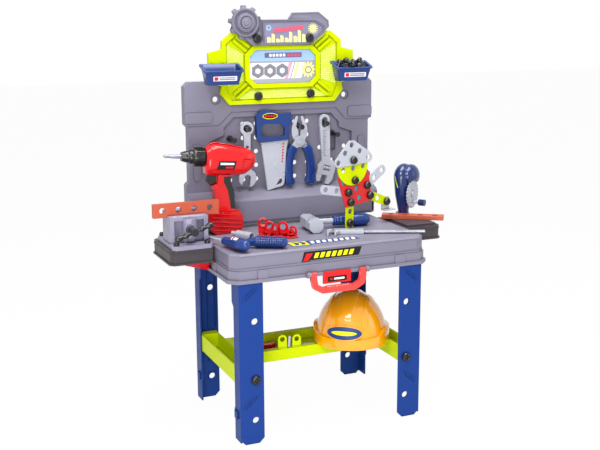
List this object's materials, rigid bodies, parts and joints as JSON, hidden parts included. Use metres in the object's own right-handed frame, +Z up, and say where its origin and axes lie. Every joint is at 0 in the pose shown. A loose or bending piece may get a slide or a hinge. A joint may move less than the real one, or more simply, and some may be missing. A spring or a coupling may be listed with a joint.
{
  "type": "toy workbench",
  "caption": "Child's toy workbench with angle legs, shelf, tool panel, sign, parts bins, side wings with vise and saw, and a set of toy hand tools, drill, helmet and bolted figure.",
  "frame": {"origin": "on the floor, midway between the four legs", "axes": "+X to the right as seen from the front, +Y to the rear, +Z up"},
  "size_m": [0.7585, 0.348, 0.9817],
  "materials": {
    "bench_grey": "satin moulded plastic, cool grey",
    "leg_blue": "satin moulded plastic, blue",
    "tool_blue": "semi-gloss moulded plastic, blue",
    "dark_blue": "semi-gloss moulded plastic, dark blue",
    "lime": "satin moulded plastic, lime",
    "red": "semi-gloss moulded plastic, red",
    "coral": "semi-gloss moulded plastic, coral red",
    "charcoal": "satin moulded plastic, charcoal",
    "black": "satin moulded plastic, black",
    "vise_grey": "satin moulded plastic, light grey",
    "terracotta": "satin moulded plastic, terracotta",
    "silver": "silver-grey moulded plastic, semi-gloss",
    "sign_white": "printed white plate, satin",
    "helmet_yellow": "glossy moulded plastic, golden yellow"
  },
  "bodies": {
    "bench": {"leg_front_left": "leg_blue", "leg_front_right": "leg_blue", "leg_rear_left": "leg_blue", "leg_rear_right": "leg_blue", "shelf": "lime", "tabletop": "bench_grey", "cross_bolts": "black", "back_panel": "bench_grey", "pegs": "black", "sign_frame": "lime", "sign_plate": "sign_white", "header": "bench_grey", "wing_left": "charcoal", "wing_right": "charcoal", "wing_braces": "red", "vise_base": "vise_grey", "saw_body": "tool_blue", "latch_plate": "red", "spare_parts": "lime"},
    "bin_left": {"bin_left": "tool_blue", "bin_left_bolts": "black"},
    "bin_right": {"bin_right": "tool_blue", "bin_right_bolts": "black"},
    "carry_handle": {"carry_handle": "coral"},
    "vise_jaw": {"vise_jaw": "vise_grey"},
    "vise_screw": {"vise_screw": "black"},
    "vise_bar": {"vise_bar": "black"},
    "plank_left": {"plank_left": "terracotta"},
    "plank_right": {"plank_right": "terracotta"},
    "saw_blade": {"saw_blade": "silver"},
    "saw_knob": {"saw_knob": "dark_blue"},
    "drill": {"drill_body": "red", "drill_grip": "black", "drill_battery": "red"},
    "drill_chuck": {"drill_chuck": "black", "drill_bit": "silver"},
    "drill_trigger": {"drill_trigger": "black"},
    "handsaw": {"handsaw_handle": "tool_blue", "handsaw_blade": "silver"},
    "pliers_left": {"pliers_left_half": "silver"},
    "pliers_right": {"pliers_right_half": "silver"},
    "wrench": {"wrench": "silver"},
    "adjustable_wrench": {"adjustable_wrench": "silver"},
    "adjustable_jaw": {"adjustable_jaw": "silver"},
    "adjustable_screw": {"adjustable_screw": "silver"},
    "hammer": {"hammer_head": "silver", "hammer_handle": "tool_blue"},
    "screwdriver": {"driver_handle": "tool_blue", "driver_shaft": "silver"},
    "socket_driver": {"socket_driver_handle": "tool_blue"},
    "socket_tube": {"socket_tube": "silver"},
    "caliper": {"caliper_beam": "silver"},
    "caliper_slider": {"caliper_slider": "silver"},
    "helmet": {"helmet": "helmet_yellow"},
    "figure": {"figure_hat": "silver", "figure_face": "lime", "figure_chest": "red", "figure_legs": "lime", "figure_strips": "silver", "figure_bolts": "black"}
  },
  "joints": [
    {"name": "carry_handle_swing", "type": "hinge", "parent": "bench", "child": "carry_handle", "pos_m": [0.007, -0.172, 0.386], "axis": [-1, 0, 0], "range_deg": [0, 90]},
    {"name": "bin_left_lift", "type": "slide", "parent": "bench", "child": "bin_left", "axis": [0, 0, 1], "range_m": [0, 0.025]},
    {"name": "bin_right_lift", "type": "slide", "parent": "bench", "child": "bin_right", "axis": [0, 0, 1], "range_m": [0, 0.025]},
    {"name": "vise_jaw_slide", "type": "slide", "parent": "bench", "child": "vise_jaw", "axis": [0, -1, 0], "range_m": [0, 0.012]},
    {"name": "vise_screw_turn", "type": "hinge", "parent": "vise_jaw", "child": "vise_screw", "pos_m": [-0.297, -0.04, 0.484], "axis": [0, -1, 0], "range_deg": [0, 1080]},
    {"name": "vise_bar_slide", "type": "slide", "parent": "vise_screw", "child": "vise_bar", "axis": [0.9455, 0, 0.3256], "range_m": [-0.01, 0.01]},
    {"name": "plank_left_lift", "type": "slide", "parent": "bench", "child": "plank_left", "axis": [0, 0, 1], "range_m": [0, 0.04]},
    {"name": "plank_right_pull", "type": "slide", "parent": "bench", "child": "plank_right", "axis": [0.829, -0.5592, 0], "range_m": [0, 0.1]},
    {"name": "saw_blade_spin", "type": "hinge", "parent": "bench", "child": "saw_blade", "pos_m": [0.327, 0.056, 0.505], "axis": [-0.5878, 0.809, 0], "continuous": true},
    {"name": "saw_knob_spin", "type": "hinge", "parent": "saw_blade", "child": "saw_knob", "pos_m": [0.32943, 0.05776, 0.484], "axis": [-0.5878, 0.809, 0], "continuous": true},
    {"name": "drill_lift", "type": "slide", "parent": "bench", "child": "drill", "axis": [0, 0, 1], "range_m": [0, 0.06]},
    {"name": "drill_chuck_spin", "type": "hinge", "parent": "drill", "child": "drill_chuck", "pos_m": [-0.226, 0.076, 0.632], "axis": [0.9969, 0, -0.0785], "continuous": true},
    {"name": "drill_trigger_pull", "type": "slide", "parent": "drill", "child": "drill_trigger", "axis": [0.9969, 0, -0.0785], "range_m": [0, 0.005], "stiffness_N_per_m": 150, "springref_m": -0.001},
    {"name": "handsaw_take_off", "type": "slide", "parent": "bench", "child": "handsaw", "axis": [0, -1, 0], "range_m": [0, 0.03]},
    {"name": "pliers_take_off", "type": "slide", "parent": "bench", "child": "pliers_left", "axis": [0, -1, 0], "range_m": [0, 0.03]},
    {"name": "pliers_pivot", "type": "hinge", "parent": "pliers_left", "child": "pliers_right", "pos_m": [0.044, 0.134, 0.648], "axis": [0, 1, 0], "range_deg": [-1.5, 2]},
    {"name": "wrench_take_off", "type": "slide", "parent": "bench", "child": "wrench", "axis": [0, -1, 0], "range_m": [0, 0.03]},
    {"name": "adjustable_wrench_take_off", "type": "slide", "parent": "bench", "child": "adjustable_wrench", "axis": [0, -1, 0], "range_m": [0, 0.03]},
    {"name": "adjustable_jaw_slide", "type": "slide", "parent": "adjustable_wrench", "child": "adjustable_jaw", "axis": [-0.9613, 0, 0.2756], "range_m": [-0.008, 0.0015]},
    {"name": "adjustable_screw_turn", "type": "hinge", "parent": "adjustable_wrench", "child": "adjustable_screw", "pos_m": [0.119, 0.135, 0.576], "axis": [-0.9613, 0, 0.2756], "range_deg": [-626.2, 117.4]},
    {"name": "hammer_lift", "type": "slide", "parent": "bench", "child": "hammer", "axis": [0, 0.6, 0.8], "range_m": [0, 0.08]},
    {"name": "screwdriver_lift", "type": "slide", "parent": "bench", "child": "screwdriver", "axis": [0, 0, 1], "range_m": [0, 0.06]},
    {"name": "socket_driver_lift", "type": "slide", "parent": "bench", "child": "socket_driver", "axis": [0, 0, 1], "range_m": [0, 0.06]},
    {"name": "socket_tube_lift", "type": "slide", "parent": "bench", "child": "socket_tube", "axis": [0, 0, 1], "range_m": [0, 0.06]},
    {"name": "caliper_pull", "type": "slide", "parent": "bench", "child": "caliper", "axis": [-0.3972, -0.9178, 0], "range_m": [0, 0.12]},
    {"name": "caliper_slide", "type": "slide", "parent": "caliper", "child": "caliper_slider", "axis": [0.9178, -0.3972, 0], "range_m": [0, 0.05]},
    {"name": "helmet_take_out", "type": "slide", "parent": "bench", "child": "helmet", "axis": [-0.5592, -0.829, 0], "range_m": [0, 0.26]},
    {"name": "figure_lift", "type": "slide", "parent": "bench", "child": "figure", "axis": [0, 0, 1], "range_m": [0, 0.06]}
  ],
  "couplings": [
    {"joint": "vise_screw_turn", "follows": "vise_jaw_slide", "rad_per_m": 1570.8},
    {"joint": "adjustable_screw_turn", "follows": "adjustable_jaw_slide", "rad_per_m": 1365.9}
  ]
}
